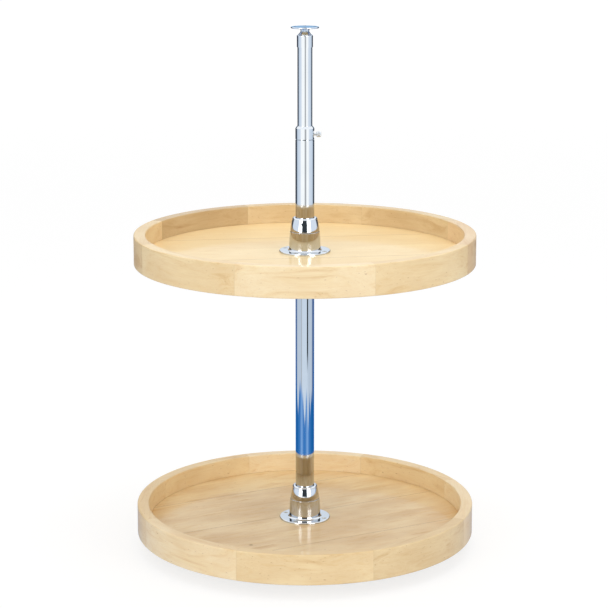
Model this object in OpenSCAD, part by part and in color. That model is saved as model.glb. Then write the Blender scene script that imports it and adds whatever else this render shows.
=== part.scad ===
// Two-tier full-round rotating shelf unit for a pantry or corner cabinet.
// Two round maple trays are clamped by flanged hubs to a telescoping chromed post.
// The post turns on a ball thrust bearing at the cabinet floor and on a pivot pin under the cabinet top.
// Origin: centre of the floor plate's underside. +Z is up the post, -Y is the front.
// The thumb screw is on +X.
// All sizes are in millimetres.

/* [Trays] */
// Outside diameter of each round tray (20 inch)
tray_d = 508; // [400:4:720]
// Thickness of the solid rim, measured along the radius
rim_wall = 17.5; // [15:0.5:26]
// Height of the rim
rim_h = 45; // [40:1:80]
// Depth of the tray, from the rim's top edge down to the floor
tray_depth = 29; // [20:1:30]
// Thickness of the floor panel
floor_t = 12; // [8:0.5:14]
// Depth of the groove in the rim that holds the floor panel
groove_d = 6; // [4:0.5:8]
// Play of the floor panel in its groove, on each side
groove_play = 0.2; // [0.1:0.05:0.4]
// Rounding of the rim's four edges
rim_ease = 1.6; // [0.6:0.2:3]
// Height of the lower tray's rim bottom above the cabinet floor
lower_tray_z = 22; // [20:1:60]
// Distance between the two trays, rim to rim
tray_pitch = 413; // [300:1:440]

/* [Rim splines] */
// Thickness of the loose splines that join the rim segments
spline_t = 4; // [3:0.5:5]
// Length of a spline across its joint
spline_len = 18; // [12:1:30]
// Distance of a spline's ends from the rim's top and bottom edges
spline_inset = 7; // [5:0.5:10]
// Play around a spline in its slots
spline_play = 0.1; // [0.05:0.05:0.3]
// Angle of the first rim joint, from +X
rim_turn = 22.5; // [0:2.5:45]

/* [Post] */
// Outside diameter of the main tube
main_tube_d = 28; // [26:0.5:34]
// Wall of the main tube
main_tube_wall = 1.5; // [1:0.1:1.8]
// Length of the main tube
main_tube_len = 605; // [560:5:800]
// Outside diameter of the upper tube that telescopes out of the main tube
upper_tube_d = 22; // [20:0.5:22.2]
// Wall of the upper tube
upper_tube_wall = 1.2; // [0.8:0.1:1.6]
// Length of upper tube that shows between the collar and the ferrule
extension = 116; // [112:1:150]
// Length of upper tube hidden inside the main tube
hidden_len = 120; // [60:5:200]
// Radial clearance of a sliding or turning fit
run_play = 0.05; // [0.02:0.01:0.08]
// Radial clearance of a pressed or glued fit
press_play = 0.02; // [0.01:0.01:0.04]
// Gap between pieces that move past each other without touching
free_gap = 0.3; // [0.2:0.05:0.6]

/* [Locking collar] */
// Height of the collar above its seam with the main tube
collar_h = 20.3; // [18:0.1:30]
// Height of the chamfer at the collar's top
collar_chamfer = 3.4; // [2:0.1:5]
// Height of the bevel round the collar's foot, which shows as the seam
collar_bevel_h = 1.2; // [0.6:0.1:1.3]
// Depth of that bevel
collar_bevel_d = 1.0; // [0.4:0.1:1.2]
// Length of the collar's spigot inside the main tube
collar_spigot = 22; // [12:1:40]
// Height of the thumb screw's axis above the seam
screw_up = 7.8; // [7.4:0.1:9]
// Diameter of the flat spot face around the thumb screw
spot_d = 12.8; // [10:0.2:14]
// Depth of the spot face below the collar's round surface
spot_depth = 1.6; // [1:0.1:1.8]
// Thread diameter of the thumb screw
thread_d = 4; // [3:0.5:4]
// Reach of the thumb screw's shank beyond the collar's round surface
screw_neck = 3; // [2.4:0.1:8]
// Length of the thumb screw's head
screw_head_l = 6.8; // [6:0.1:12]
// Diameter of the thumb screw's head
screw_head_d = 8.6; // [8:0.1:12]
// Rounding of the thumb screw's head
screw_head_ease = 2; // [1:0.1:2]
// Thickness of the soft pad between the thumb screw and the upper tube
pad_t = 0.7; // [0.6:0.05:0.8]

/* [Tray hubs] */
// Width of the flange outside the hub's foot
flange_w = 14.75; // [12:0.05:22]
// Thickness of the flange
flange_t = 2.6; // [2:0.1:4]
// Rounding of the flange's upper edge
flange_ease = 1.1; // [0.4:0.1:1.4]
// Wall from the tube out to the hub's side at its foot
hub_wall = 9.5; // [9.2:0.05:12]
// Height of the hub above the tray floor
hub_h = 51.8; // [46:0.2:60]
// Height of the seam between hub and clamping cap above the tray floor
seam_h = 31; // [30:0.2:34]
// Radius of the hub's slightly bowed side
hub_bow = 300; // [280:10:800]
// Rounding of the hub's shoulder at the seam
shoulder_r = 0.5; // [0.3:0.1:2.8]
// Set-back of the cap's foot behind the hub's side
cap_step = 0.3; // [0.1:0.1:1.3]
// Inward lean of the cap's bowed side, from its foot to its top lip
cap_taper = 3.2; // [2.4:0.1:3.6]
// Depth below the seam at which the cap's bowed side would stand upright
cap_lean = 6.3; // [4:0.1:8]
// Radius of the fillet between the hub and its flange
foot_fillet = 2.6; // [1:0.2:4]
// Rounding of the cap's top lip
lip_r = 2.6; // [1:0.1:2.8]
// Diameter of the hub screws
wood_screw_d = 4; // [3:0.5:4.5]
// Length of the hub screws
wood_screw_l = 12; // [8:1:13]
// Angle of the first hub screw, from +X
screw_turn = -25; // [-45:5:45]

/* [Pivots] */
// Diameter of the plate that screws to the cabinet floor
floor_plate_d = 80; // [70:1:110]
// Thickness of the floor plate
floor_plate_t = 2.5; // [2:0.1:4]
// Diameter of the circle through the floor plate's screw holes
floor_holes_pcd = 62; // [50:1:64]
// Diameter of the fixed stud that the post turns on
stud_d = 12; // [10:0.5:13]
// Length of stud inside the foot plug
stud_reach = 20; // [12:1:30]
// Diameter of the bearing balls
ball_d = 4.5; // [3.5:0.1:5]
// Number of bearing balls
ball_count = 8; // [6:1:9]
// Radial width of the bearing races
race_w = 6.9; // [6.5:0.1:7]
// Thickness of a bearing race
race_t = 3; // [2.4:0.1:4]
// Depth of the ball groove in each race
race_groove = 1; // [0.6:0.1:1.2]
// Height of the ferrule at the upper tube's top
ferrule_h = 17.8; // [14:0.1:24]
// Wall of the ferrule
ferrule_wall = 0.8; // [0.6:0.1:1.6]
// Diameter of the swivelling plate that screws under the cabinet top
top_plate_d = 41.6; // [40:0.1:60]
// Thickness of the top plate
top_plate_t = 2; // [1.8:0.1:3]
// Diameter of the circle through the top plate's screw holes
top_holes_pcd = 29.4; // [28:0.1:30]
// Height of the waisted neck between the ferrule and the top plate
neck_h = 9.6; // [8:0.1:16]
// Diameter of the neck's foot
neck_foot_d = 19.3; // [17:0.1:20]
// Diameter of the neck's waist
neck_waist_d = 12.6; // [12:0.1:14]
// Diameter of the neck under the plate
neck_top_d = 14.8; // [14.4:0.1:17]
// Diameter of the pivot pin inside the upper tube
pin_d = 10; // [8:0.1:10]
// Diameter of the screw holes in both plates
plate_hole_d = 4.4; // [3.5:0.1:4.8]

/* [Hidden] */

$fn = 96;
// Overrun of a cutting shape past the face that it cuts
over = 1;
// Facets of the widely bowed sides
bow_fn = 720;
// A cutting circle is this much larger than its fillet, so that it cuts instead of just touching
past_tangent = 1.01;

MAPLE = "#f3d8a6";
PLY = "#f6ddb0";
CHROME = "#c9d0d8";
STEEL = "#9aa0a6";
NYLON = "#e9e6dc";
BRASS = "#c9a45a";

// Post
tube_r = main_tube_d / 2;
tube_in_r = tube_r - main_tube_wall;
inner_r = upper_tube_d / 2;
inner_bore_r = inner_r - upper_tube_wall;

// Bottom bearing, from the cabinet floor up
stud_r = stud_d / 2;
ball_r = ball_d / 2;
race_in_r = stud_r + free_gap;
race_out_r = race_in_r + race_w;
ball_circle_r = race_in_r + race_w / 2;
groove_r = ball_r + run_play;
lower_race_top = floor_plate_t + race_t;
ball_z = lower_race_top - race_groove + groove_r;
upper_race_z = 2 * ball_z - lower_race_top;
plug_z = upper_race_z + race_t;
plug_flange = 3;
plug_spigot = 25;
tube_z = plug_z + plug_flange;
cage_t = 1.2;
cage_margin = 0.5;
rivet_step = 2;
rivet_r = stud_r - rivet_step;
stud_ease = 2;
pocket_play = 0.1;
ball_pocket_r = ball_r + pocket_play;

// Top of the post
seam_z = tube_z + main_tube_len;
collar_top = seam_z + collar_h;
screw_z = seam_z + screw_up;
spot_x = tube_r - spot_depth;
collar_chamfer_share = 0.8;
collar_chamfer_w = (tube_r - inner_r) * collar_chamfer_share;
thread_r = thread_d / 2;
pad_x = inner_r + 2 * run_play;
screw_tip_x = pad_x + pad_t + run_play;
ferrule_z = collar_top + extension;
ferrule_top = ferrule_z + ferrule_h;
upper_tube_bottom = seam_z - hidden_len;
ferrule_r = inner_r + press_play + ferrule_wall;
ferrule_ease = 1.2;
plate_ease = 0.8;
pin_r = pin_d / 2;
bush_flange = 2;
bush_spigot = 20;
tube_top = ferrule_top - ferrule_wall - bush_flange;
neck_z = ferrule_top + free_gap;
plate_z = neck_z + neck_h;
guide_h = 15;
guide_rim = 3;
guide_wall = 2;
clip_t = 1;
clip_depth = 0.8;
clip_w = 2.4;
clip_r = pin_r + clip_w;
clip_slot = 4;
clip_z = tube_top - bush_spigot - free_gap - clip_t;
pin_tail = 3;
pin_bottom = clip_z - pin_tail;

// The neck's profile, as parts of its height
neck_edge = 0.05;
neck_low = 0.42;
neck_middle = 0.56;
neck_high = 0.7;
neck_shoulder = 0.95;
neck_low_flare = 0.5;
neck_high_flare = 0.2;

// Trays
tray_r = tray_d / 2;
rim_in_r = tray_r - rim_wall;
floor_top = rim_h - tray_depth;
floor_z = floor_top - floor_t;
floor_r = rim_in_r + groove_d - groove_play;
rim_parts = 8;
rim_angle = 360 / rim_parts;
spline_r = rim_in_r + (rim_wall + groove_d) / 2;
spline_h = rim_h - 2 * spline_inset;
upper_tray_z = lower_tray_z + tray_pitch;

// Hubs, with heights above the tray floor
hub_foot_r = tube_r + hub_wall;
flange_r = hub_foot_r + flange_w;
hub_bore_r = tube_r + free_gap;
spigot_wall = 3;
spigot_r = tube_r + spigot_wall;
spigot_short = 1;
collet_bore_r = tube_r + run_play;
collet_foot_wall = 1.8;
collet_top_wall = 2.4;
collet_foot_r = tube_r + collet_foot_wall;
collet_top_r = tube_r + collet_top_wall;
collet_z = 10;
collet_drop = 5.2;
collet_top = hub_h - collet_drop;
collet_slits = 4;
collet_slit_w = 1.6;
collet_slit_up = 5;
collet_slit_z = collet_z + collet_slit_up;
pilot_wall = 4.2;
pilot_r = tube_r + pilot_wall;
pilot_h = 6;
lug_depth = 0.5;
lug_r = pilot_r + lug_depth;
lug_count = 3;
lug_angle = 24;
lug_h = 1.8;
lug_rise = 1.2;
lug_z = seam_h + lug_rise;
cap_web = 3.6;
hub_shoulder_r = bowed(hub_foot_r, hub_bow, seam_h - flange_t) - shoulder_r;
cap_foot_r = bowed(hub_foot_r, hub_bow, seam_h - flange_t) - cap_step;
lip_z = hub_h - lip_r;
// The cap's side is the arc that leans in by cap_taper between these two heights above its upright level
cap_far = lip_z - seam_h + cap_lean;
cap_chord = ((cap_far * cap_far - cap_lean * cap_lean) / cap_taper + cap_taper) / 2;
cap_bow = sqrt(cap_chord * cap_chord + cap_lean * cap_lean);
cap_upright_r = cap_foot_r + cap_bow - cap_chord;
hub_screws = 4;
hub_screw_r = hub_foot_r + foot_fillet + (flange_w - foot_fillet) / 2;
screw_head_ratio = 0.95;
screw_head_r = wood_screw_d * screw_head_ratio;
screw_cone_h = screw_head_r - wood_screw_d / 2;

// Radius of a bowed side at a height above the level where it stands upright
function bowed(upright_r, bow, h) = upright_r - bow + sqrt(bow * bow - h * h);

// A rectangle with all four corners rounded
module soft_rect(w, h, r) {
    translate([r, 0]) square([w - 2 * r, h]);
    translate([0, r]) square([w, h - 2 * r]);
    for (x = [r, w - r], y = [r, h - r])
        translate([x, y]) circle(r);
}

// A rectangle that is rounded only at its outer top corner
module top_eased_rect(w, h, r) {
    square([w - r, h]);
    square([w, h - r]);
    translate([w - r, h - r]) circle(r);
}

// Evenly spaced copies on a circle about the post
module around(count, r, first = 0) {
    for (i = [0 : count - 1])
        rotate([0, 0, first + i * 360 / count])
            translate([r, 0, 0]) children();
}

// A plain ring standing at height z
module ring(outer, inner, h, z = 0) {
    translate([0, 0, z]) difference() {
        cylinder(h = h, r = outer);
        translate([0, 0, -over]) cylinder(h = h + 2 * over, r = inner);
    }
}

// ---- Bottom pivot ----

// Round plate that screws to the cabinet floor
module floor_plate() {
    color(STEEL) difference() {
        rotate_extrude() difference() {
            top_eased_rect(floor_plate_d / 2, floor_plate_t, floor_plate_t / 2);
            translate([-over, -over]) square([rivet_r + press_play + over, floor_plate_t + 2 * over]);
        }
        around(4, floor_holes_pcd / 2, 45)
            translate([0, 0, -over]) cylinder(h = floor_plate_t + 2 * over, d = plate_hole_d);
    }
}

// Fixed stud, riveted into the floor plate, that centres the post
module pivot_stud() {
    color(STEEL) rotate_extrude() union() {
        square([rivet_r, floor_plate_t + over]);
        translate([0, floor_plate_t])
            top_eased_rect(stud_r, tube_z + stud_reach - floor_plate_t, stud_ease);
    }
}

// One bearing race lying on its back, with its ball groove on top
module race(inner) {
    rotate_extrude() difference() {
        translate([inner, 0]) square([race_out_r - inner, race_t]);
        translate([ball_circle_r, race_t - race_groove + groove_r]) circle(groove_r);
    }
}

module lower_race() {
    color(STEEL) translate([0, 0, floor_plate_t]) race(stud_r + press_play);
}

module ball_cage() {
    color(NYLON) difference() {
        ring(race_out_r - cage_margin, race_in_r + cage_margin, cage_t, ball_z - cage_t / 2);
        around(ball_count, ball_circle_r)
            translate([0, 0, ball_z - cage_t]) cylinder(h = 2 * cage_t, r = ball_pocket_r);
    }
}

module bearing_balls() {
    color(CHROME) around(ball_count, ball_circle_r)
        translate([0, 0, ball_z]) sphere(ball_r);
}

module upper_race() {
    color(STEEL) translate([0, 0, plug_z]) mirror([0, 0, 1]) race(race_in_r);
}

// ---- Post ----

// Plug in the foot of the main tube, bored to turn on the stud
module foot_plug() {
    color(NYLON) difference() {
        union() {
            translate([0, 0, plug_z]) cylinder(h = plug_flange, r = tube_r);
            translate([0, 0, plug_z]) cylinder(h = plug_flange + plug_spigot, r = tube_in_r - press_play);
        }
        translate([0, 0, plug_z - over])
            cylinder(h = plug_flange + plug_spigot + 2 * over, r = stud_r + run_play);
    }
}

module main_tube() {
    color(CHROME) ring(tube_r, tube_in_r, main_tube_len, tube_z);
}

// Collar pressed into the main tube, which guides and locks the upper tube
module lock_collar() {
    color(CHROME) difference() {
        rotate_extrude() translate([inner_r + run_play, seam_z]) difference() {
            union() {
                difference() {
                    square([tube_r - inner_r - run_play, collar_h]);
                    translate([tube_r - inner_r - run_play, 0])
                        polygon([[-collar_bevel_d, 0], [-collar_bevel_d, -over], [over, -over],
                            [over, collar_bevel_h], [0, collar_bevel_h]]);
                }
                translate([0, -collar_spigot])
                    square([tube_in_r - press_play - inner_r - run_play, collar_spigot + over]);
            }
            translate([tube_r - inner_r - run_play, collar_h - collar_chamfer])
                polygon([[0, 0], [over, 0], [over, collar_chamfer + over],
                    [-collar_chamfer_w, collar_chamfer + over], [-collar_chamfer_w, collar_chamfer]]);
        }
        translate([spot_x, 0, screw_z]) rotate([0, 90, 0]) cylinder(h = spot_depth + over, d = spot_d);
        translate([0, 0, screw_z]) rotate([0, 90, 0]) cylinder(h = tube_r + over, r = thread_r + run_play);
    }
}

// Soft brass pad that the thumb screw presses on the upper tube
module lock_pad() {
    color(BRASS) translate([pad_x, 0, screw_z]) rotate([0, 90, 0])
        cylinder(h = pad_t, r = thread_r - run_play);
}

// Thumb screw, lying along +X with its rounded head outside
module thumb_screw() {
    shank_l = tube_r + screw_neck - screw_tip_x;
    color(CHROME) translate([screw_tip_x, 0, screw_z]) rotate([0, 90, 0])
        rotate_extrude() union() {
            square([thread_r - run_play / 2, shank_l + over]);
            translate([0, shank_l])
                soft_rect_disc(screw_head_d / 2, screw_head_l, screw_head_ease);
        }
}

module upper_tube() {
    color(CHROME) ring(inner_r, inner_bore_r, tube_top - upper_tube_bottom, upper_tube_bottom);
}

// Bush on the upper tube's lower end, sliding in the main tube
module guide_bush() {
    color(NYLON) difference() {
        union() {
            translate([0, 0, upper_tube_bottom - guide_rim])
                cylinder(h = guide_rim, r = tube_in_r - run_play);
            translate([0, 0, upper_tube_bottom - guide_rim])
                cylinder(h = guide_h, r = inner_bore_r - press_play);
        }
        translate([0, 0, upper_tube_bottom - guide_rim - over])
            cylinder(h = guide_h + 2 * over, r = inner_bore_r - guide_wall);
    }
}

// ---- Top pivot ----

// Chromed cap over the upper tube's top end
module ferrule() {
    color(CHROME) difference() {
        rotate_extrude() translate([0, ferrule_z]) difference() {
            top_eased_rect(ferrule_r, ferrule_h, ferrule_ease);
            translate([-over, ferrule_h / 2]) square([pin_r + free_gap + over, ferrule_h]);
        }
        translate([0, 0, ferrule_z - over])
            cylinder(h = ferrule_h - ferrule_wall + over, r = inner_r + press_play);
    }
}

// Flanged bush in the upper tube's top end, in which the pivot pin turns
module top_bush() {
    color(NYLON) difference() {
        union() {
            translate([0, 0, tube_top]) cylinder(h = bush_flange, r = inner_r);
            translate([0, 0, tube_top - bush_spigot])
                cylinder(h = bush_spigot + bush_flange, r = inner_bore_r - press_play);
        }
        translate([0, 0, tube_top - bush_spigot - over])
            cylinder(h = bush_spigot + bush_flange + 2 * over, r = pin_r + run_play);
    }
}

// Waisted neck and pin in one turned piece; the pin turns in the top bush
module pivot_pin() {
    foot_r = neck_foot_d / 2;
    waist_r = neck_waist_d / 2;
    top_r = neck_top_d / 2;
    color(CHROME) rotate_extrude() union() {
        translate([0, neck_z]) polygon([[0, 0], [foot_r, 0], [foot_r, neck_h * neck_edge],
            [waist_r + neck_low_flare, neck_h * neck_low], [waist_r, neck_h * neck_middle],
            [waist_r + neck_high_flare, neck_h * neck_high], [top_r, neck_h * neck_shoulder],
            [top_r, neck_h], [0, neck_h]]);
        difference() {
            translate([0, pin_bottom]) square([pin_r, neck_z + over - pin_bottom]);
            translate([pin_r - clip_depth, clip_z - press_play])
                square([clip_depth + over, clip_t + 2 * press_play]);
        }
    }
}

// Spring clip that keeps the pin in its bush
module retaining_clip() {
    color(STEEL) difference() {
        ring(clip_r, pin_r - clip_depth + press_play, clip_t, clip_z);
        translate([0, -clip_slot / 2, clip_z - over]) cube([clip_r + over, clip_slot, clip_t + 2 * over]);
    }
}

// Round plate that screws under the cabinet top
module top_plate() {
    color(CHROME) translate([0, 0, plate_z]) difference() {
        rotate_extrude() soft_rect_disc(top_plate_d / 2, top_plate_t, plate_ease);
        around(4, top_holes_pcd / 2)
            translate([0, 0, -over]) cylinder(h = top_plate_t + 2 * over, d = plate_hole_d);
    }
}

// Half section of a disc whose two outer corners are rounded
module soft_rect_disc(w, h, r) {
    square([w - r, h]);
    translate([0, r]) square([w, h - 2 * r]);
    for (y = [r, h - r])
        translate([w - r, y]) circle(r);
}

// ---- Trays, each standing on z = 0 ----

module tray_floor() {
    color(PLY) difference() {
        translate([0, 0, floor_z]) cylinder(h = floor_t, r = floor_r);
        translate([0, 0, floor_z - over]) cylinder(h = floor_t + 2 * over, r = spigot_r + press_play);
        around(hub_screws, hub_screw_r, screw_turn)
            translate([0, 0, floor_top + flange_t - wood_screw_l])
                cylinder(h = wood_screw_l, r = wood_screw_d / 2 + press_play);
    }
}

// Place of a spline at both ends of one rim segment
module at_joints() {
    for (a = [0, rim_angle])
        rotate([0, 0, a]) translate([spline_r, 0, rim_h / 2]) children();
}

// One of the rim's curved segments, grooved for the floor and slotted for the splines
module rim_segment(number) {
    color(MAPLE) rotate([0, 0, rim_turn + (number - 1) * rim_angle]) difference() {
        rotate_extrude(angle = rim_angle) difference() {
            translate([rim_in_r, 0]) soft_rect(rim_wall, rim_h, rim_ease);
            translate([rim_in_r - over, floor_z - groove_play])
                square([groove_d + over, floor_t + 2 * groove_play]);
        }
        at_joints() cube([spline_t + 2 * spline_play, spline_len + 2 * spline_play,
            spline_h + 2 * spline_play], center = true);
    }
}

module rim_splines() {
    color(MAPLE) for (i = [0 : rim_parts - 1])
        rotate([0, 0, rim_turn + i * rim_angle]) translate([spline_r, 0, rim_h / 2])
            cube([spline_t, spline_len, spline_h], center = true);
}

// ---- Hubs, each standing on the tray floor at z = 0 ----

// Half section of the hub's solid outside: flange, fillet, bowed side, shoulder and cap pilot
module hub_section() {
    top_eased_rect(flange_r, flange_t, flange_ease);
    translate([0, -floor_t + spigot_short]) square([spigot_r, floor_t]);
    intersection() {
        square([hub_foot_r + over, seam_h - shoulder_r]);
        translate([hub_foot_r - hub_bow, flange_t]) circle(hub_bow, $fn = bow_fn);
    }
    square([hub_shoulder_r, seam_h]);
    translate([hub_shoulder_r, seam_h - shoulder_r]) circle(shoulder_r);
    square([pilot_r, seam_h + pilot_h]);
    translate([bowed(hub_foot_r, hub_bow, foot_fillet) - over, flange_t - over]) difference() {
        square(foot_fillet + over);
        translate([foot_fillet + over, foot_fillet + over]) circle(foot_fillet * past_tangent);
    }
}

// Flanged hub, screwed to the tray floor, bored for the tube and coned for the collet
module hub() {
    color(CHROME) difference() {
        union() {
            rotate_extrude() difference() {
                hub_section();
                translate([-over, -floor_t]) square([hub_bore_r + over, 2 * hub_h]);
                polygon([[0, collet_z - free_gap], [collet_foot_r + free_gap, collet_z - free_gap],
                    [collet_top_r + free_gap, seam_h + pilot_h + over], [0, seam_h + pilot_h + over]]);
            }
            for (i = [0 : lug_count - 1])
                rotate([0, 0, i * 360 / lug_count]) rotate_extrude(angle = lug_angle)
                    translate([pilot_r - over, lug_z]) square([lug_r - pilot_r + over, lug_h]);
        }
        around(hub_screws, hub_screw_r, screw_turn) {
            translate([0, 0, -over])
                cylinder(h = flange_t + 2 * over, r = wood_screw_d / 2 + press_play);
            translate([0, 0, flange_t - screw_cone_h])
                cylinder(h = screw_cone_h * 2, r1 = wood_screw_d / 2, r2 = screw_head_r + screw_cone_h);
        }
    }
}

// Nylon sleeve that the cap squeezes on the tube, slit from its top
module hub_collet() {
    color(NYLON) difference() {
        rotate_extrude() polygon([[collet_bore_r, collet_z], [collet_foot_r, collet_z],
            [collet_top_r, collet_top], [collet_bore_r, collet_top]]);
        around(collet_slits, 0, 180 / collet_slits)
            translate([tube_r / 2, -collet_slit_w / 2, collet_slit_z])
                cube([tube_r, collet_slit_w, hub_h]);
    }
}

// Half section of the clamping cap's inside: tube hole, collet room, pilot room and lug track
module cap_room() {
    translate([-over, seam_h - over]) square([hub_bore_r + over, hub_h]);
    translate([-over, seam_h - over])
        square([collet_top_r + free_gap + over, hub_h - cap_web - seam_h + over]);
    translate([-over, seam_h - over]) square([pilot_r + run_play + over, pilot_h + free_gap + over]);
    translate([-over, lug_z - free_gap]) square([lug_r + free_gap + over, lug_h + 2 * free_gap]);
}

// Clamping cap that a quarter turn tightens on the collet
module hub_cap() {
    lip_side_r = bowed(cap_upright_r, cap_bow, cap_far);
    color(CHROME) rotate_extrude() difference() {
        union() {
            intersection() {
                translate([0, seam_h + free_gap]) square([hub_foot_r, lip_z - seam_h - free_gap]);
                translate([cap_upright_r - cap_bow, seam_h - cap_lean]) circle(cap_bow, $fn = bow_fn);
            }
            translate([0, seam_h + over]) square([lip_side_r - lip_r, hub_h - seam_h - over]);
            translate([lip_side_r - lip_r, lip_z]) circle(lip_r);
        }
        cap_room();
    }
}

// Countersunk screws that hold the hub to the tray floor
module hub_screw_set() {
    color(CHROME) around(hub_screws, hub_screw_r, screw_turn) rotate_extrude() union() {
        translate([0, flange_t - wood_screw_l + over]) square([wood_screw_d / 2, wood_screw_l - over]);
        translate([0, flange_t - screw_cone_h + press_play]) polygon([[0, 0], [wood_screw_d / 2, 0],
            [screw_head_r, screw_cone_h - press_play], [0, screw_cone_h - press_play]]);
    }
}

module on_upper_tray() translate([0, 0, upper_tray_z]) children();
module on_lower_tray() translate([0, 0, lower_tray_z]) children();
module on_upper_floor() translate([0, 0, upper_tray_z + floor_top]) children();
module on_lower_floor() translate([0, 0, lower_tray_z + floor_top]) children();

floor_plate();
pivot_stud();
lower_race();
ball_cage();
bearing_balls();
upper_race();
foot_plug();
main_tube();
lock_collar();
lock_pad();
thumb_screw();
upper_tube();
guide_bush();
ferrule();
top_bush();
pivot_pin();
retaining_clip();
top_plate();
on_upper_tray() tray_floor();  // upper_floor
on_upper_tray() rim_segment(1);  // upper_rim_1
on_upper_tray() rim_segment(2);  // upper_rim_2
on_upper_tray() rim_segment(3);  // upper_rim_3
on_upper_tray() rim_segment(4);  // upper_rim_4
on_upper_tray() rim_segment(5);  // upper_rim_5
on_upper_tray() rim_segment(6);  // upper_rim_6
on_upper_tray() rim_segment(7);  // upper_rim_7
on_upper_tray() rim_segment(8);  // upper_rim_8
on_upper_tray() rim_splines();  // upper_rim_splines
on_upper_floor() hub();  // upper_hub
on_upper_floor() hub_collet();  // upper_hub_collet
on_upper_floor() hub_cap();  // upper_hub_cap
on_upper_floor() hub_screw_set();  // upper_hub_screws
on_lower_tray() tray_floor();  // lower_floor
on_lower_tray() rim_segment(1);  // lower_rim_1
on_lower_tray() rim_segment(2);  // lower_rim_2
on_lower_tray() rim_segment(3);  // lower_rim_3
on_lower_tray() rim_segment(4);  // lower_rim_4
on_lower_tray() rim_segment(5);  // lower_rim_5
on_lower_tray() rim_segment(6);  // lower_rim_6
on_lower_tray() rim_segment(7);  // lower_rim_7
on_lower_tray() rim_segment(8);  // lower_rim_8
on_lower_tray() rim_splines();  // lower_rim_splines
on_lower_floor() hub();  // lower_hub
on_lower_floor() hub_collet();  // lower_hub_collet
on_lower_floor() hub_cap();  // lower_hub_cap
on_lower_floor() hub_screw_set();  // lower_hub_screws
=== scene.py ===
import math

import bmesh
import bpy
from mathutils import Matrix, Vector


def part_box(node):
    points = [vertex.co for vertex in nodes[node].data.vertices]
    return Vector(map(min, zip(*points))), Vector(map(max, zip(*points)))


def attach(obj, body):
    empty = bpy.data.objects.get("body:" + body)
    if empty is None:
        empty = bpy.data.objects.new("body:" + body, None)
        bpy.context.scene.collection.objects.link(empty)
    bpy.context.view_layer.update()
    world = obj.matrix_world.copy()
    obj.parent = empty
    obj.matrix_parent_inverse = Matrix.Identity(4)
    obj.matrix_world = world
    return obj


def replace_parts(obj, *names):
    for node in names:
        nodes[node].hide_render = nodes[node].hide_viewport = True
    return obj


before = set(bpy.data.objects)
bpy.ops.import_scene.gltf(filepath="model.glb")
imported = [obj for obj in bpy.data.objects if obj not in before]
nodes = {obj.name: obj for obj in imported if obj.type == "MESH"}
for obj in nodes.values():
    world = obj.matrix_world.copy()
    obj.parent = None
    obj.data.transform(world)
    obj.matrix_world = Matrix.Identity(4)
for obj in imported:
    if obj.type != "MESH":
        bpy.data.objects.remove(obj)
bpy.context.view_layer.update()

# Two-tier rotating pantry shelf unit: two rimmed maple trays clamped by chromed hubs to a telescoping
# chromed post. Metres; the origin is under the floor plate, +Z is up the post and -Y is the front.
MM = 0.001
TRAYS = ("upper", "lower")

# Boards in a rim, the angle that each covers, and where board 1 begins, in degrees from the right side
RIM_PARTS = 8
RIM_ANGLE = 360 / RIM_PARTS
RIM_TURN = 22.5


# ---- Shader helpers ----

def linear(hex_colour):
    """An sRGB hex colour as linear RGBA."""
    channels = [int(hex_colour[i:i + 2], 16) / 255 for i in (1, 3, 5)]
    return [c / 12.92 if c <= 0.04045 else ((c + 0.055) / 1.055) ** 2.4 for c in channels] + [1.0]


def add(tree, kind, inputs=None, out=0, stops=None, **settings):
    """Adds a node with its settings and links, and gives back one of its outputs. An input is a value, a
    hex colour or another node's output; stops are the places and hex colours of a colour ramp.
    Inputs without a name of their own go by number: a Math or VectorMath node takes its terms as 0, 1 and 2,
    a MapRange its value as 0, the range it comes from as 1 and 2 and the range it goes to as 3 and 4, and a
    Mix or shader mix its share as 0 and, for two colours, these as 6 and 7."""
    made = tree.nodes.new("ShaderNode" + kind)
    for name, value in settings.items():
        setattr(made, name, value)
    for i, (place, colour) in enumerate(stops or []):
        ramp = made.color_ramp.elements
        if i > 1:
            ramp.new(1.0)
        ramp[i].position, ramp[i].color = place, linear(colour)
    for name, value in (inputs or {}).items():
        if isinstance(value, bpy.types.NodeSocket):
            tree.links.new(value, made.inputs[name])
        else:
            made.inputs[name].default_value = linear(value) if isinstance(value, str) else value
    return made.outputs[out] if made.outputs else None


def new_material(name):
    """An empty material and its tree."""
    material = bpy.data.materials.new(name)
    material.use_nodes = True
    material.node_tree.nodes.clear()
    return material, material.node_tree


# ---- Lacquered maple ----

# Each noise's size along and across the grain, in metres. Hard maple's growth rings lie 2 to 4 mm apart;
# they are drawn in bands of about 20 mm, because one pixel of the view covers 1.5 mm of the rims and up
# to 8 mm of the floors, and their finer octaves give the real spacing close up.
RING_SIZE = (0.17, 0.017)
VENEER_RING_SIZE = (0.085, 0.015)
FIGURE_SIZE = (0.11, 0.050)
FIBRE_SIZE = (0.030, 0.0012)
FLECK_SIZE = (0.007, 0.0016)
# Where the ring noise turns from dark to middle to pale wood and back
RING_STOPS = (0.28, 0.41, 0.52, 0.63, 0.76)
# How much of the dark wood or fleck colour the fibres and flecks bring in
FIBRE_SHARE, FLECK_SHARE = 0.18, 0.50
FLECK = "#A8743F"
KNOT, KNOT_CORE, KNOT_HALO = "#7E5228", 0.75, 0.25
GLUE_LINE, GLUE_SHARE, GLUE_WIDTH = "#8B6437", 0.1, 0.8 * MM
# Veneer leaves: how far their tones differ, and the seam's strength and width as a share of the leaf's
LEAF_TONE, SEAM_SHARE, SEAM_WIDTH = 0.42, 0.5, 0.004
# How far the noise moves along, across and up for each step of the seed, in metres, and from leaf to leaf
SEED_STEP = (1.7, 0.9, 0.4)
LEAF_STEP = (3.0, 0.4, 0.0)
LEAF_START = 0.31
FIBRE_BUMP = 0.12 * MM
WOOD_ROUGH = (0.42, 0.52)
LACQUER_IOR = 1.5
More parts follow.
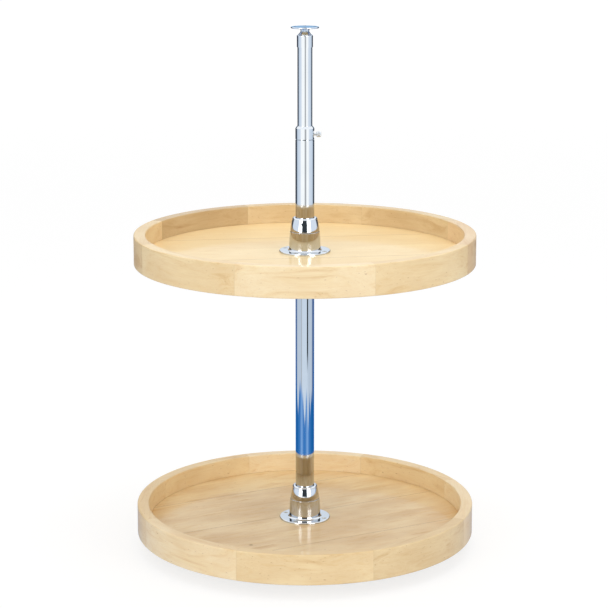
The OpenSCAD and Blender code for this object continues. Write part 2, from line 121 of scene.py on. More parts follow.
# The lacquer's weight and roughness: thin and satin on the rims, flowed out and glossier on the floors
SPRAYED = (0.25, 0.12)
FLOWED = (0.30, 0.08)


def along_grain(tree, place, size, detail, rough=0.55, distortion=0.0):
    """Noise stretched along the grain, which runs along X of place."""
    along, across = size
    scaled = add(tree, "VectorMath", {0: place, 1: (1 / along, 1 / across, 1 / across)},
                 operation="MULTIPLY")
    return add(tree, "TexNoise", {"Vector": scaled, "Scale": 1.0, "Detail": detail, "Roughness": rough,
                                  "Distortion": distortion})


def glue_lines(tree, place, angles, width):
    """1 on the glue lines between rim boards, which lie at these angles round the post, fading over width."""
    x, y = add(tree, "SeparateXYZ", {0: place}).node.outputs[:2]
    turn = add(tree, "Math", {0: y, 1: x}, operation="ARCTAN2")
    reach = add(tree, "VectorMath", {0: place, 1: (1, 1, 0)}, operation="MULTIPLY")
    reach = add(tree, "VectorMath", {0: reach}, out="Value", operation="LENGTH")
    lines = None
    for angle in angles:
        off = add(tree, "Math", {0: turn, 1: math.radians((angle + 180) % 360 - 180)}, operation="SUBTRACT")
        off = add(tree, "Math", {0: off}, operation="ABSOLUTE")
        off = add(tree, "Math", {0: off, 1: reach}, operation="MULTIPLY")
        line = add(tree, "MapRange", {0: off, 1: 0.0, 2: width, 3: 1.0, 4: 0.0})
        lines = line if lines is None else add(tree, "Math", {0: lines, 1: line}, operation="MAXIMUM")
    return lines


def lacquered_maple(name, colours, along, seed, lean=0.0, ring_size=RING_SIZE, streaks=0.6, mottle=0.3,
                    coat=SPRAYED, leaf=None, joints=(), knots=()):
    """Hard maple, sanded and sprayed with clear satin lacquer: a pale close-grained wood with faint growth
    rings, short dark flecks and a soft coat that mirrors bright things at a low angle.
    colours are the pale, middle and dark wood; along is the grain's direction and lean the tilt of the growth
    rings, in degrees; streaks and mottle are the strength of rings and figure; coat is the lacquer's weight
    and roughness, leaf the width of a floor's veneer leaves, joints the angles of a rim board's ends, and
    knots the places and radii of pin knots."""
    material, tree = new_material(name)
    pale, middle, dark = colours
    own = add(tree, "TexCoord", out="Object")
    turned = add(tree, "Mapping", {"Vector": own, "Rotation": (0, 0, -math.radians(along))})
    place = add(tree, "Mapping", {"Vector": turned, "Location": [seed * step for step in SEED_STEP],
                                  "Rotation": (math.radians(lean), 0, 0)})
    if leaf:
        # Each leaf of veneer is cut from another part of the log and has its own tone
        across = add(tree, "SeparateXYZ", {0: turned}, out=1)
        across = add(tree, "Math", {0: across, 1: 1 / leaf, 2: 0.5 + seed * LEAF_START},
                     operation="MULTIPLY_ADD")
        number = add(tree, "Math", {0: across}, operation="FLOOR")
        chance = add(tree, "TexWhiteNoise", {"W": number}, out="Color", noise_dimensions="1D")
        shift = add(tree, "VectorMath", {0: chance, 1: LEAF_STEP}, operation="MULTIPLY")
        place = add(tree, "VectorMath", {0: place, 1: shift}, operation="ADD")
    rings = along_grain(tree, place, ring_size, 7.0, 0.64, 0.9)
    figure = along_grain(tree, place, FIGURE_SIZE, 3.0)
    fibres = along_grain(tree, place, FIBRE_SIZE, 2.0)
    flecks = along_grain(tree, place, FLECK_SIZE, 1.0)

    ringed = add(tree, "ValToRGB", {"Fac": rings},
                 stops=list(zip(RING_STOPS, (dark, middle, pale, middle, dark))))
    colour = add(tree, "Mix", {0: streaks, 6: middle, 7: ringed}, out=2, data_type="RGBA")
    for noise, low, high, share, tone in ((figure, 0.30, 0.70, mottle, dark),
                                          (fibres, 0.40, 0.85, FIBRE_SHARE, dark),
                                          (flecks, 0.69, 0.79, FLECK_SHARE, FLECK)):
        much = add(tree, "MapRange", {0: noise, 1: low, 2: high, 3: 0.0, 4: share},
                   interpolation_type="SMOOTHSTEP")
        colour = add(tree, "Mix", {0: much, 6: colour, 7: tone}, out=2, data_type="RGBA")
    if leaf:
        tone = add(tree, "SeparateColor", {0: chance}, out=1)
        tone = add(tree, "Math", {0: tone, 1: LEAF_TONE}, operation="MULTIPLY")
        colour = add(tree, "Mix", {0: tone, 6: colour, 7: dark}, out=2, data_type="RGBA")
        seam = add(tree, "Math", {0: across}, operation="FRACT")
        seam = add(tree, "Math", {0: seam, 1: 0.5, 2: SEAM_WIDTH}, operation="COMPARE")
        seam = add(tree, "Math", {0: seam, 1: SEAM_SHARE}, operation="MULTIPLY")
        colour = add(tree, "Mix", {0: seam, 6: colour, 7: GLUE_LINE}, out=2, data_type="RGBA")
    for x, y, radius in knots:
        flat = add(tree, "VectorMath", {0: own, 1: (1, 1, 0)}, operation="MULTIPLY")
        away = add(tree, "VectorMath", {0: flat, 1: (x, y, 0)}, out="Value", operation="DISTANCE")
        core = add(tree, "MapRange", {0: away, 1: radius * 0.3, 2: radius, 3: KNOT_CORE, 4: 0.0})
        halo = add(tree, "MapRange", {0: away, 1: radius, 2: radius * 4, 3: KNOT_HALO, 4: 0.0})
        colour = add(tree, "Mix", {0: core, 6: colour, 7: KNOT}, out=2, data_type="RGBA")
        colour = add(tree, "Mix", {0: halo, 6: colour, 7: dark}, out=2, data_type="RGBA")
    if joints:
        line = glue_lines(tree, own, joints, GLUE_WIDTH)
        line = add(tree, "Math", {0: line, 1: GLUE_SHARE}, operation="MULTIPLY")
        colour = add(tree, "Mix", {0: line, 6: colour, 7: GLUE_LINE}, out=2, data_type="RGBA")
    bump = add(tree, "Bump", {"Height": fibres, "Strength": 0.12, "Distance": FIBRE_BUMP})
    rough = add(tree, "MapRange", {0: figure, 1: 0.2, 2: 0.8, 3: WOOD_ROUGH[0], 4: WOOD_ROUGH[1]})
    shader = add(tree, "BsdfPrincipled", {
        "Base Color": colour, "Roughness": rough, "IOR": LACQUER_IOR, "Specular IOR Level": 0.2,
        "Coat Weight": coat[0], "Coat Roughness": coat[1], "Coat IOR": LACQUER_IOR, "Normal": bump})
    add(tree, "OutputMaterial", {"Surface": shader})
    return material


# ---- Metals and plastics ----

# The scale of a noise is one over the size of its patches in metres: 55 is 18 mm, 420 is 2.4 mm, 6000 is
# 0.17 mm. The finest ones are far under a pixel of the main view and show only close up.

def buffed_chrome(name, colours=("#CDD0D3", "#C6CACE"), rough=(0.03, 0.06)):
    """Bright chromium plate over buffed steel or zinc: a cold mirror, a little softened in patches where the
    buffing wheel left hairlines about 0.4 mm apart."""
    material, tree = new_material(name)
    own = add(tree, "TexCoord", out="Object")
    patches = add(tree, "TexNoise", {"Vector": own, "Scale": 55.0, "Detail": 3.0})
    hairlines = along_grain(tree, own, (0.4 * MM, 12 * MM), 2.0)
    wear = add(tree, "Mix", {0: 0.3, 2: patches, 3: hairlines}, data_type="FLOAT")
    bump = add(tree, "Bump", {"Height": patches, "Strength": 0.03, "Distance": 0.05 * MM})
    shader = add(tree, "BsdfPrincipled", {
        "Base Color": add(tree, "Mix", {0: patches, 6: colours[0], 7: colours[1]}, out=2, data_type="RGBA"),
        "Metallic": 1.0, "Normal": bump,
        "Roughness": add(tree, "MapRange", {0: wear, 1: 0.3, 2: 0.7, 3: rough[0], 4: rough[1]})})
    add(tree, "OutputMaterial", {"Surface": shader})
    return material


def bright_zinc(name):
    """Pressed steel with bright zinc plate and a clear passivate: soft grey metal with a faint straw and blue
    tint that drifts over some 15 mm."""
    material, tree = new_material(name)
    own = add(tree, "TexCoord", out="Object")
    drift = add(tree, "TexNoise", {"Vector": own, "Scale": 65.0, "Detail": 2.0})
    crystals = add(tree, "TexVoronoi", {"Vector": own, "Scale": 420.0}, out="Distance")
    bump = add(tree, "Bump", {"Height": crystals, "Strength": 0.08, "Distance": 0.05 * MM})
    shader = add(tree, "BsdfPrincipled", {
        "Base Color": add(tree, "ValToRGB", {"Fac": drift},
                          stops=[(0.3, "#AEB7BE"), (0.5, "#BDBFBC"), (0.7, "#C3BBA4")]),
        "Metallic": 1.0, "Roughness": add(tree, "MapRange", {0: crystals, 1: 0.0, 2: 0.8, 3: 0.26, 4: 0.40}),
        "Normal": bump})
    add(tree, "OutputMaterial", {"Surface": shader})
    return material


def ground_steel(name):
    """Through-hardened bearing steel, ground and lapped: almost a mirror, with lapping marks under 0.2 mm."""
    material, tree = new_material(name)
    own = add(tree, "TexCoord", out="Object")
    marks = add(tree, "TexNoise", {"Vector": own, "Scale": 6000.0, "Detail": 2.0})
    shader = add(tree, "BsdfPrincipled", {
        "Base Color": add(tree, "Mix", {0: marks, 6: "#C3C5C8", 7: "#AEB1B5"}, out=2, data_type="RGBA"),
        "Metallic": 1.0, "Roughness": add(tree, "MapRange", {0: marks, 1: 0.3, 2: 0.7, 3: 0.10, 4: 0.18})})
    add(tree, "OutputMaterial", {"Surface": shader})
    return material


def dull_nickel(name):
    """Cold-headed screws with dull nickel plate: a warm grey metal, rougher where the die marks stay."""
    material, tree = new_material(name)
    own = add(tree, "TexCoord", out="Object")
    marks = add(tree, "TexNoise", {"Vector": own, "Scale": 1500.0, "Detail": 3.0})
    bump = add(tree, "Bump", {"Height": marks, "Strength": 0.10, "Distance": 0.03 * MM})
    shader = add(tree, "BsdfPrincipled", {
        "Base Color": add(tree, "Mix", {0: marks, 6: "#B9B6AE", 7: "#9C988E"}, out=2, data_type="RGBA"),
        "Metallic": 1.0, "Roughness": add(tree, "MapRange", {0: marks, 1: 0.3, 2: 0.7, 3: 0.18, 4: 0.32}),
        "Normal": bump})
    add(tree, "OutputMaterial", {"Surface": shader})
    return material


def moulded_nylon(name):
    """Natural white nylon, injection moulded: milky, slightly waxy, with a spark-eroded grain of 0.3 mm."""
    material, tree = new_material(name)
    own = add(tree, "TexCoord", out="Object")
    pits = add(tree, "TexNoise", {"Vector": own, "Scale": 3300.0, "Detail": 1.0})
    flow = add(tree, "TexNoise", {"Vector": own, "Scale": 120.0, "Detail": 2.0})
    bump = add(tree, "Bump", {"Height": pits, "Strength": 0.15, "Distance": 0.04 * MM})
    shader = add(tree, "BsdfPrincipled", {
        "Base Color": add(tree, "Mix", {0: flow, 6: "#ECE9DF", 7: "#DFDBCD"}, out=2, data_type="RGBA"),
        "Roughness": add(tree, "MapRange", {0: pits, 1: 0.3, 2: 0.7, 3: 0.38, 4: 0.52}), "IOR": 1.53,
        "Subsurface Weight": 0.08, "Subsurface Radius": (2.0 * MM, 1.6 * MM, 1.2 * MM), "Normal": bump})
    add(tree, "OutputMaterial", {"Surface": shader})
    return material


def turned_brass(name):
    """Free-cutting brass, parted off on a lathe: yellow metal with facing rings 0.3 mm apart."""
    material, tree = new_material(name)
    own = add(tree, "TexCoord", out="Object")
    rings = add(tree, "TexWave", {"Vector": own, "Scale": 1000.0, "Distortion": 1.0}, wave_type="RINGS",
                rings_direction="X")
    bump = add(tree, "Bump", {"Height": rings, "Strength": 0.1, "Distance": 0.02 * MM})
    shader = add(tree, "BsdfPrincipled", {
        "Base Color": add(tree, "Mix", {0: rings, 6: "#C9A45A", 7: "#B98F45"}, out=2, data_type="RGBA"),
        "Metallic": 1.0, "Roughness": add(tree, "MapRange", {0: rings, 1: 0.0, 2: 1.0, 3: 0.2, 4: 0.34}),
        "Normal": bump})
    add(tree, "OutputMaterial", {"Surface": shader})
    return material


# Faces that meet at more than this are an edge
SHARP_ANGLE = math.radians(40)


def give(material, *names):
    """These CAD nodes get this material all over."""
    for name in names:
        slots = nodes[name].material_slots
        for s in slots:
            s.material = material
        if not slots:
            nodes[name].data.materials.append(material)


def ease_edges(width, *names):
    """A fine chamfer on the sharp edges of these CAD nodes, as tumbling or sanding leaves."""
    for name in names:
        bevel = nodes[name].modifiers.new("eased", "BEVEL")
        bevel.width = width
        bevel.segments = 2
        bevel.limit_method = "ANGLE"
        bevel.angle_limit = SHARP_ANGLE
        bevel.harden_normals = True


# ---- Pieces finer than the CAD solids ----

# The thumb screw: its head's length and the share of its radius that is rounded off, its shank, and the
# knurl: grooves round the head, their depth, and the mesh's steps for each groove
THUMB_HEAD_L = 6.8 * MM
HEAD_EASE = 0.46
SHANK_R = 1.975 * MM
KNURL_COUNT = 22
KNURL_DEPTH = 0.32 * MM
KNURL_STEPS = 8
# Where the four screws stand in each hub's flange: the first one's angle, their distance from the axis,
# half way from the foot's fillet to the flange's edge, and the angle at which each happened to stop
SCREW_TURN = -25
SCREW_RING_R = (23.5 + 2.6 + (14.75 - 2.6) / 2) * MM
SCREW_STOPS = (12, 57, 31, 74)
# The cross recess: across its blades, a blade's thickness, its depth, and its tip's share of the span
RECESS_SPAN = 4.6 * MM
RECESS_WIDTH = 0.9 * MM
RECESS_DEPTH = 1.5 * MM
RECESS_TIP = 0.35


def object_from(made, name, material):
    """Turns a bmesh into a smooth-shaded object in the scene."""
    bmesh.ops.recalc_face_normals(made, faces=made.faces)
    mesh = bpy.data.meshes.new(name)
    made.to_mesh(mesh)
    made.free()
    mesh.materials.append(material)
    piece = bpy.data.objects.new(name, mesh)
    bpy.context.scene.collection.objects.link(piece)
    return piece


def turn_section(made, section, steps, flutes=0, depth=0.0, fluted=()):
    """Turns a closed half section about Z. fluted holds the numbers of the points that the flutes, depth
    deep, cut into."""
    rows = []
    for i, (r, z) in enumerate(section):
        if r == 0:
            rows.append([made.verts.new((0, 0, z))] * steps)
            continue
        row = []
        for s in range(steps):
            angle = 2 * math.pi * s / steps
            cut = depth * (0.5 - 0.5 * math.cos(flutes * angle)) if i in fluted else 0.0
            row.append(made.verts.new(((r - cut) * math.cos(angle), (r - cut) * math.sin(angle), z)))
        rows.append(row)
    for low, high in zip(rows, rows[1:]):
        for s in range(steps):
            corners = []
            for v in (low[s], low[(s + 1) % steps], high[(s + 1) % steps], high[s]):
                if v not in corners:
                    corners.append(v)
            if len(corners) > 2:
                made.faces.new(corners)


def knurled_thumb_screw(material):
    """The thumb screw with the knurl on its rounded head, on the CAD solid's own outline."""
    low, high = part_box("thumb_screw")
    middle = (low + high) / 2
    head_r, neck = (high.z - low.z) / 2, high.x - THUMB_HEAD_L
    ease = head_r * HEAD_EASE
    section = [(0, low.x), (SHANK_R, low.x), (SHANK_R, neck)]
    quarter = [math.radians(d) for d in range(0, 91, 15)]
    rounded = [(head_r - ease + ease * math.sin(a), neck + ease - ease * math.cos(a)) for a in quarter]
    rounded += [(head_r - ease + ease * math.cos(a), high.x - ease + ease * math.sin(a)) for a in quarter]
    # The knurl runs over the head from half way up one rounding to half way down the other
    knurled = range(len(section) + 3, len(section) + 11)
    section += rounded + [(0, high.x)]
    made = bmesh.new()
    turn_section(made, section, KNURL_STEPS * KNURL_COUNT, KNURL_COUNT, KNURL_DEPTH, knurled)
    bmesh.ops.rotate(made, verts=made.verts, matrix=Matrix.Rotation(math.radians(90), 3, "Y"))
    bmesh.ops.translate(made, verts=made.verts, vec=(0, middle.y, middle.z))
    screw = object_from(made, "knurled_thumb_screw", material)
    for face in screw.data.polygons:
        face.use_smooth = True
    screw.data.set_sharp_from_angle(angle=SHARP_ANGLE)
    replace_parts(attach(screw, "thumb_screw"), "thumb_screw")


def cross_recess(x, y, top, turn):
    """A cutter shaped like a cross-head driver's tip: two tapered blades."""
    made = bmesh.new()
    for quarter in (0, 90):
        block = bmesh.ops.create_cube(made, size=1.0)["verts"]
        bmesh.ops.scale(made, verts=block, vec=(RECESS_SPAN, RECESS_WIDTH, 2 * RECESS_DEPTH))
        for v in block:
            if v.co.z < 0:
                v.co.x *= RECESS_TIP
        bmesh.ops.rotate(made, verts=block, matrix=Matrix.Rotation(math.radians(quarter + turn), 3, "Z"))
    bmesh.ops.translate(made, verts=made.verts, vec=(x, y, top))
    return made


def recessed_hub_screws(tray, material):
    """The four hub screws with their cross recesses cut in, each turned as it happened to stop."""
    node = nodes[tray + "_hub_screws"]
    screws = node.copy()
    screws.data = node.data.copy()
    screws.name = tray + "_cross_head_screws"
    bpy.context.scene.collection.objects.link(screws)
    screws.parent = None
    screws.matrix_world = node.matrix_world.copy()
    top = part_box(tray + "_hub_screws")[1].z
    for i, stop in enumerate(SCREW_STOPS):
        angle = math.radians(SCREW_TURN + 90 * i)
        x, y = SCREW_RING_R * math.cos(angle), SCREW_RING_R * math.sin(angle)
        cutter = object_from(cross_recess(x, y, top, stop), "cutter", material)
        cut = screws.modifiers.new("recess", "BOOLEAN")
        cut.object = cutter
        cut.operation = "DIFFERENCE"
        cut.solver = "EXACT"
        cut.use_self = True
        bpy.context.view_layer.objects.active = screws
        bpy.ops.object.modifier_apply(modifier=cut.name)
        bpy.data.objects.remove(cutter)
    screws.data.materials.clear()
    screws.data.materials.append(material)
    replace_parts(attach(screws, tray + "_tray"), tray + "_hub_screws")


# ---- Camera ----

# Standing 3.03 m in front of the post and looking 10.8 degrees down, as the ellipses of the rims,
# floors and flanges in the photograph give it. The shift brings the foot of the object into the frame.
CAMERA_DOWN = math.radians(10.76)
camera = bpy.data.objects.new("camera", bpy.data.cameras.new("camera"))
bpy.context.scene.collection.objects.link(camera)
camera.location = (-0.0013, -3.034, 1.0583)
camera.rotation_euler = (math.radians(90) - CAMERA_DOWN, 0, 0)
camera.data.lens = 123.1
camera.data.sensor_width = 36
camera.data.shift_y = -0.12
camera.data.clip_end = 100
bpy.context.scene.camera = camera

# ---- Studio ----

# The few things that bright metal mirrors, as the colours that chrome then shows
WHITE, PALE, SKY = "#FAFBFA", "#D5DDE8", "#F2F5F9"
GAP, FLAT, DIM = "#33383C", "#3E4146", "#C9D1DA"
FLOOR_PALE, FLOOR_DIM, FLOOR_GREY = "#C9D5E2", "#BAC6D4", "#A3A5A7"
PAPER, PAPER_DEEP, PAPER_SHEEN = "#3C77B9", "#165D9E", "#7DA6D8"
SHADE, SHADE_FAR, STAND = "#4D6691", "#3A404B", "#1C2528"

# They stand round the object at these compass angles from the front, in degrees to the right:
# two white panels left and right of the camera with a dark gap between, and dark flats behind
PANELS = [(-180, DIM), (-172, DIM), (-164, FLAT), (-122, FLAT), (-112, PALE), (-56, PALE), (-48, WHITE),
          (-25, WHITE), (-21, GAP), (16, GAP), (21, WHITE), (46, WHITE), (54, PALE), (112, PALE),
          (122, FLAT), (164, FLAT), (172, DIM), (180, DIM)]
# The floor far off, with the panels' sheen on it
FAR_FLOOR = [(-180, SHADE_FAR), (-116, SHADE_FAR), (-104, FLOOR_DIM), (-90, FLOOR_PALE), (-58, PALE),
             (-46, WHITE), (-8, WHITE), (4, FLOOR_GREY), (13, FLOOR_GREY), (21, WHITE), (42, WHITE),
             (58, PALE), (92, FLOOR_PALE), (108, FLOOR_DIM), (122, SHADE_FAR), (180, SHADE_FAR)]
# The floor half way, where a narrow grey strip crosses it on the left
MIDDLE_FLOOR = [(-180, SHADE), (-120, SHADE), (-104, FLOOR_DIM), (-50, FLOOR_DIM), (-42, FLOOR_GREY),
                (-34, FLOOR_PALE), (24, FLOOR_PALE), (50, FLOOR_DIM), (92, FLOOR_DIM), (108, SHADE),
                (180, SHADE)]
# Blue paper lies round the foot, with a sheen from each panel
BLUE_PAPER = [(-180, PAPER), (-150, PAPER_DEEP), (-112, PAPER_DEEP), (-64, PAPER), (-38, PAPER_SHEEN),
              (-16, PAPER), (6, PAPER), (31, PAPER_SHEEN), (54, PAPER), (100, PAPER_DEEP),
              (150, PAPER_DEEP), (180, PAPER)]
# How far the paper reaches from the post, in metres, by compass angle: its front edge is scalloped
PAPER_REACH = [(-180, 2.2), (-140, 1.2), (-112, 0.85), (-88, 0.76), (-70, 0.92), (-22, 0.84), (0, 0.69),
               (20, 0.88), (42, 0.65), (56, 0.86), (72, 0.75), (84, 0.85), (112, 0.85), (140, 1.2),
               (180, 2.2)]
PAPER_EDGE = 0.06
# Distances from the post where the middle floor turns into the far floor, in metres
MIDDLE_END, FAR_START = 1.75, 2.7
# A dark stand on the floor at the right of the camera: its angles and the distances it covers
STAND_FROM, STAND_TO, STAND_NEAR, STAND_FAR = 25, 41, 1.12, 1.95
# The dark gap ends in a crossbar that also runs to the left; heights as sines of the angle up
BAR_FROM, BAR_TO, BAR_LOW, BAR_HIGH = -34, 18, 0.20, 0.27
# The panels are lamps behind white cloth: how much brighter they are than white, and how high they reach
PANEL_GLOW, PANEL_TOP = 5.0, 0.50
LEFT_PANEL, RIGHT_PANEL = (-47, -25), (21, 46)
# Blue cloth hangs low behind the object
CLOTH_FROM, CLOTH_TOP, CLOTH = 150, 0.12, "#7F9FBE"
# The pale ceiling begins at this height, as the sine of the angle up
SKY_FROM = 0.35
# Chrome returns about six tenths of the light, so what it mirrors is brighter than the colours above
MIRROR_LEVEL = 1.62
# Even light on the object from the sky in front and behind, and where it changes over, as the direction's
# share towards the back
AMBIENT_FRONT, AMBIENT_BACK = 0.90, 0.34
AMBIENT_FROM, AMBIENT_TO = -0.2, 0.6
# The floor's own white, which lights the object from below
FLOOR_WHITE = "#F2F2F2"
# What the camera sees of the floor: how much shadow it keeps, and its own light near and far, in metres
FLOOR_SHADE = "#8A8A8A"
FLOOR_NEAR, FLOOR_FAR = 1.0, 8.0
FLOOR_LIGHT_NEAR, FLOOR_LIGHT_FAR = 0.78, 0.86
FLOOR_R = 30
# Soft lamps: name, place, width, height and watts
LAMPS = [("overhead", (0.2, 0.25, 2.55), 2.2, 1.9, 18),
         ("front_left", (-1.9, -2.6, 1.5), 1.4, 1.6, 13),
         ("front_right", (2.2, -2.2, 1.3), 1.4, 1.6, 11)]
LAMP_TARGET = (0, 0, 0.35)


def compass(tree, direction):
    """The angle of a place or direction from the front, in degrees to the right."""
    x, y = add(tree, "SeparateXYZ", {0: direction}).node.outputs[:2]
    ahead = add(tree, "Math", {0: y, 1: -1.0}, operation="MULTIPLY")
    turn = add(tree, "Math", {0: x, 1: ahead}, operation="ARCTAN2")
    return add(tree, "Math", {0: turn}, operation="DEGREES")


def round_the_post(tree, turn, stops):
    """A colour by compass angle."""
    place = add(tree, "MapRange", {0: turn, 1: -180, 2: 180, 3: 0.0, 4: 1.0})
    return add(tree, "ValToRGB", {"Fac": place},
               stops=[((angle + 180) / 360, tone) for angle, tone in stops])


def between(tree, value, low, high, soft):
    """1 while value lies between low and high, with soft ends."""
    rise = add(tree, "MapRange", {0: value, 1: low - soft, 2: low + soft})
    fall = add(tree, "MapRange", {0: value, 1: high - soft, 2: high + soft, 3: 1.0, 4: 0.0})
    return add(tree, "Math", {0: rise, 1: fall}, operation="MULTIPLY")


def paper_reach(tree, turn):
    """How far the blue paper reaches at this compass angle, as a soft curve through PAPER_REACH."""
    place = add(tree, "MapRange", {0: turn, 1: -180, 2: 180, 3: 0.0, 4: 1.0})
    curve = add(tree, "FloatCurve", {"Value": place})
    points = curve.node.mapping.curves[0].points
    longest = max(reach for angle, reach in PAPER_REACH)
    while len(points) < len(PAPER_REACH):
        points.new(0.5, 0.5)
    for point, (angle, reach) in zip(points, PAPER_REACH):
        point.location = ((angle + 180) / 360, reach / longest)
    curve.node.mapping.update()
    return add(tree, "Math", {0: curve, 1: longest}, operation="MULTIPLY")


def studio_floor():
    """A white floor. Metal sees it pale far off, and blue near the object, where blue paper lies."""
    bpy.ops.mesh.primitive_circle_add(vertices=96, radius=FLOOR_R, fill_type="NGON")
    floor = bpy.context.object
    floor.name = "studio_floor"
    material, tree = new_material("white_studio_floor")
    place = add(tree, "NewGeometry", out="Position")
    turn = compass(tree, place)
    away = add(tree, "VectorMath", {0: place}, out="Value", operation="LENGTH")
    far = add(tree, "MapRange", {0: away, 1: MIDDLE_END, 2: FAR_START}, interpolation_type="SMOOTHSTEP")
    pale = add(tree, "Mix", {0: far, 6: round_the_post(tree, turn, MIDDLE_FLOOR),
                             7: round_the_post(tree, turn, FAR_FLOOR)}, out=2, data_type="RGBA")
    stand = add(tree, "Math", {0: between(tree, turn, STAND_FROM, STAND_TO, soft=2.0),
                               1: between(tree, away, STAND_NEAR, STAND_FAR, soft=0.08)},
                operation="MULTIPLY")
    pale = add(tree, "Mix", {0: stand, 6: pale, 7: STAND}, out=2, data_type="RGBA")
    beyond = add(tree, "Math", {0: away, 1: paper_reach(tree, turn)}, operation="DIVIDE")
    beyond = add(tree, "MapRange", {0: beyond, 1: 1 - PAPER_EDGE, 2: 1 + PAPER_EDGE})
    mirrored = add(tree, "Mix", {0: beyond, 6: round_the_post(tree, turn, BLUE_PAPER), 7: pale}, out=2,
                   data_type="RGBA")
    # To the camera the floor is nearly white by itself and keeps only part of the object's shadow
    own_light = add(tree, "MapRange", {0: away, 1: FLOOR_NEAR, 2: FLOOR_FAR, 3: FLOOR_LIGHT_NEAR,
                                       4: FLOOR_LIGHT_FAR})
    shown = add(tree, "AddShader", {0: add(tree, "BsdfDiffuse", {"Color": FLOOR_SHADE}),
                                    1: add(tree, "Emission", {"Color": "#FFFFFF", "Strength": own_light})})
    glow = add(tree, "Emission", {"Color": mirrored, "Strength": MIRROR_LEVEL})
    seen = add(tree, "MixShader", {0: add(tree, "LightPath", out="Is Camera Ray"),
                                   1: add(tree, "BsdfDiffuse", {"Color": FLOOR_WHITE}), 2: shown})
    seen = add(tree, "MixShader", {0: add(tree, "LightPath", out="Is Glossy Ray"), 1: seen, 2: glow})
    add(tree, "OutputMaterial", {"Surface": seen})
    floor.data.materials.append(material)


def studio_world():
    """White to the camera, an even soft light on the object, and the panels and flats in its mirrors."""
    world = bpy.data.worlds.new("studio")
    bpy.context.scene.world = world
    world.use_nodes = True
    tree = world.node_tree
    tree.nodes.clear()
    way = add(tree, "TexCoord", out="Generated")
    turn = compass(tree, way)
    depth, height = add(tree, "SeparateXYZ", {0: way}).node.outputs[1:]
    side = round_the_post(tree, turn, PANELS)
    bar = add(tree, "Math", {0: between(tree, height, BAR_LOW, BAR_HIGH, soft=0.015),
                             1: between(tree, turn, BAR_FROM, BAR_TO, soft=3.0)}, operation="MULTIPLY")
    side = add(tree, "Mix", {0: bar, 6: side, 7: GAP}, out=2, data_type="RGBA")
    behind = add(tree, "Math", {0: turn}, operation="ABSOLUTE")
    cloth = add(tree, "Math", {0: between(tree, behind, CLOTH_FROM, 200, soft=10.0),
                               1: between(tree, height, -1, CLOTH_TOP, soft=0.02)}, operation="MULTIPLY")
    side = add(tree, "Mix", {0: cloth, 6: side, 7: CLOTH}, out=2, data_type="RGBA")
    above = add(tree, "MapRange", {0: height, 1: SKY_FROM, 2: SKY_FROM + 0.05})
    mirrored = add(tree, "Mix", {0: above, 6: side, 7: SKY}, out=2, data_type="RGBA")
    panels = add(tree, "Math", {0: between(tree, turn, *LEFT_PANEL, soft=2.0),
                                1: between(tree, turn, *RIGHT_PANEL, soft=2.0)}, operation="ADD")
    low_down = between(tree, height, -1, PANEL_TOP, soft=0.03)
    panels = add(tree, "Math", {0: panels, 1: low_down}, operation="MULTIPLY")
    unbarred = add(tree, "Math", {0: 1.0, 1: bar}, operation="SUBTRACT")
    panels = add(tree, "Math", {0: panels, 1: unbarred}, operation="MULTIPLY")
    bright = add(tree, "MapRange", {0: panels, 1: 0.0, 2: 1.0, 3: MIRROR_LEVEL,
                                    4: MIRROR_LEVEL * PANEL_GLOW})
    even = add(tree, "MapRange", {0: depth, 1: AMBIENT_FROM, 2: AMBIENT_TO, 3: AMBIENT_FRONT,
                                  4: AMBIENT_BACK})
    ambient = add(tree, "Background", {"Color": "#FFFFFF", "Strength": even})
    white = add(tree, "Background", {"Color": "#FFFFFF", "Strength": 1.0})
    glow = add(tree, "Background", {"Color": mirrored, "Strength": bright})
    seen = add(tree, "MixShader", {0: add(tree, "LightPath", out="Is Camera Ray"), 1: ambient, 2: white})
    seen = add(tree, "MixShader", {0: add(tree, "LightPath", out="Is Glossy Ray"), 1: seen, 2: glow})
    add(tree, "OutputWorld", {"Surface": seen})


def softbox(name, place, width, height, power):
    """A soft lamp aimed at the object; metal sees the panels instead of it."""
    lamp = bpy.data.lights.new(name, "AREA")
    lamp.shape = "RECTANGLE"
    lamp.size, lamp.size_y, lamp.energy = width, height, power
    box = bpy.data.objects.new(name, lamp)
    bpy.context.scene.collection.objects.link(box)
    box.location = place
    box.rotation_euler = (Vector(LAMP_TARGET) - Vector(place)).to_track_quat("-Z", "Y").to_euler()
    box.visible_glossy = False
    box.visible_camera = False


studio_floor()
studio_world()
for lamp in LAMPS:
    softbox(*lamp)
bpy.context.scene.view_settings.view_transform = "Standard"

# ---- Materials on the CAD nodes ----

chrome = buffed_chrome("buffed_chrome_plate")
zinc = bright_zinc("bright_zinc_plate")
steel = ground_steel("ground_bearing_steel")
nickel = dull_nickel("dull_nickel_plate")
nylon = moulded_nylon("moulded_white_nylon")
brass = turned_brass("turned_brass")

give(chrome, "main_tube", "lock_collar", "thumb_screw", "upper_tube", "ferrule", "pivot_pin", "top_plate",
     *[tray + part for tray in TRAYS for part in ("_hub", "_hub_cap")])
give(zinc, "floor_plate", "pivot_stud", "lower_race", "upper_race", "retaining_clip")
give(nylon, "ball_cage", "foot_plug", "guide_bush", "top_bush", "upper_hub_collet", "lower_hub_collet")
give(steel, "bearing_balls")
give(nickel, "upper_hub_screws", "lower_hub_screws")
give(brass, "lock_pad")

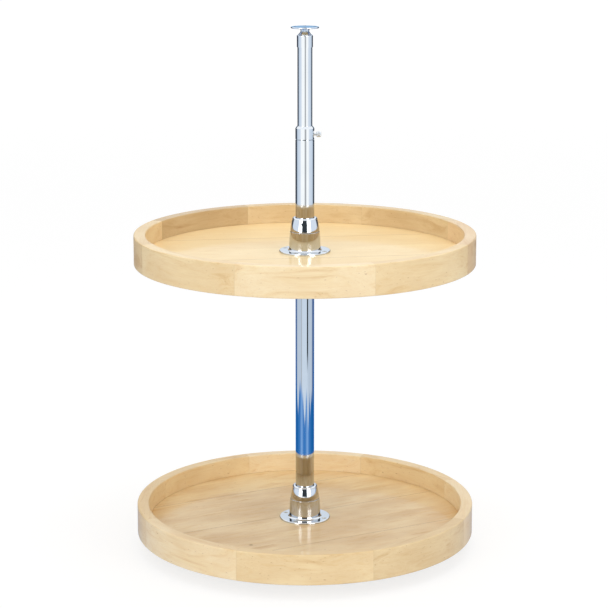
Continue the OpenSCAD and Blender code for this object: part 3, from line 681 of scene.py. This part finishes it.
# Tone of each rim segment, from segment 1, whose middle is 45 degrees behind the right side, round to segment
# 8 on the right: pale, tan or pinkish boards, as the glued-up rims show. The tones were set to how bright
# each board looks, so they carry painted shade as well as the wood's own colour: the tan and honey boards at
# the back of the upper rim are darkened as painted shade for its dim inner back wall
TONES = {
    "pale": ("#FCEBC9", "#F6DFB4", "#DCB47C"),
    "straw": ("#F8E4BB", "#F1D7A7", "#D4AB73"),
    "wheat": ("#F1DCB1", "#E8CD9F", "#CDA66F"),
    "tan": ("#ECD7AD", "#E0C79B", "#C7A26F"),
    # honey is darker than tan: painted shade for the back of the upper rim
    "honey_painted_shade": ("#D8C196", "#CBAE83", "#B18C5D"),
    "pink": ("#F1D9B1", "#E7CA9F", "#CCA271"),
}
RIM_TONES = {
    # The upper rim's boards 1 to 3, at its back, are tan and honey: painted shade for the dim inner back wall
    "upper": ("tan", "tan", "honey_painted_shade", "wheat", "straw", "pale", "straw", "pink"),
    "lower": ("straw", "pale", "straw", "straw", "pale", "straw", "wheat", "pale"),
}
# How far each board's growth rings lean, in degrees
LEANS = (-12, 8, 15, -6, 10, -14, 5, -9)
# How far the seed moves from tray to tray and from board to board, so that no two boards look alike
TRAY_SEED, BOARD_SEED = 3.1, 1.37

for t, tray in enumerate(TRAYS):
    for i, tone in enumerate(RIM_TONES[tray]):
        middle = RIM_TURN + RIM_ANGLE * (i + 0.5)
        ends = (middle - RIM_ANGLE / 2, middle + RIM_ANGLE / 2)
        board = lacquered_maple("maple_board_%s_%d" % (tray, i + 1), TONES[tone], middle + 90,
                                TRAY_SEED * t + BOARD_SEED * i, lean=LEANS[i], joints=ends)
        give(board, "%s_rim_%d" % (tray, i + 1))
give(lacquered_maple("maple_spline", TONES["straw"], 0, 5.0), "upper_rim_splines", "lower_rim_splines")
give(lacquered_maple("maple_panel_upper", ("#FBE7BA", "#F9DFAB", "#E4C188"), 8, 1.0,
                     ring_size=VENEER_RING_SIZE, streaks=0.5, coat=FLOWED, leaf=0.16),
     "upper_floor")
# The lower floor's wood colours are paler than the upper floor's: painted light, which makes up for the shade
# that the upper tray casts on it
give(lacquered_maple("maple_panel_lower_painted_light", ("#FFEFC9", "#FBE4B3", "#D6AF7A"), 28, 6.0,
                     ring_size=VENEER_RING_SIZE, streaks=0.8, mottle=0.6, coat=FLOWED, leaf=0.13,
                     knots=[(-0.079, -0.128, 0.004)]), "lower_floor")

knurled_thumb_screw(chrome)
for tray in TRAYS:
    recessed_hub_screws(tray, nickel)

TUBE_EASE, BOARD_EASE = 0.35 * MM, 0.12 * MM
ease_edges(TUBE_EASE, "main_tube", "lock_collar", "upper_tube", "ferrule")
ease_edges(BOARD_EASE, *["%s_rim_%d" % (tray, i) for tray in TRAYS for i in range(1, RIM_PARTS + 1)])
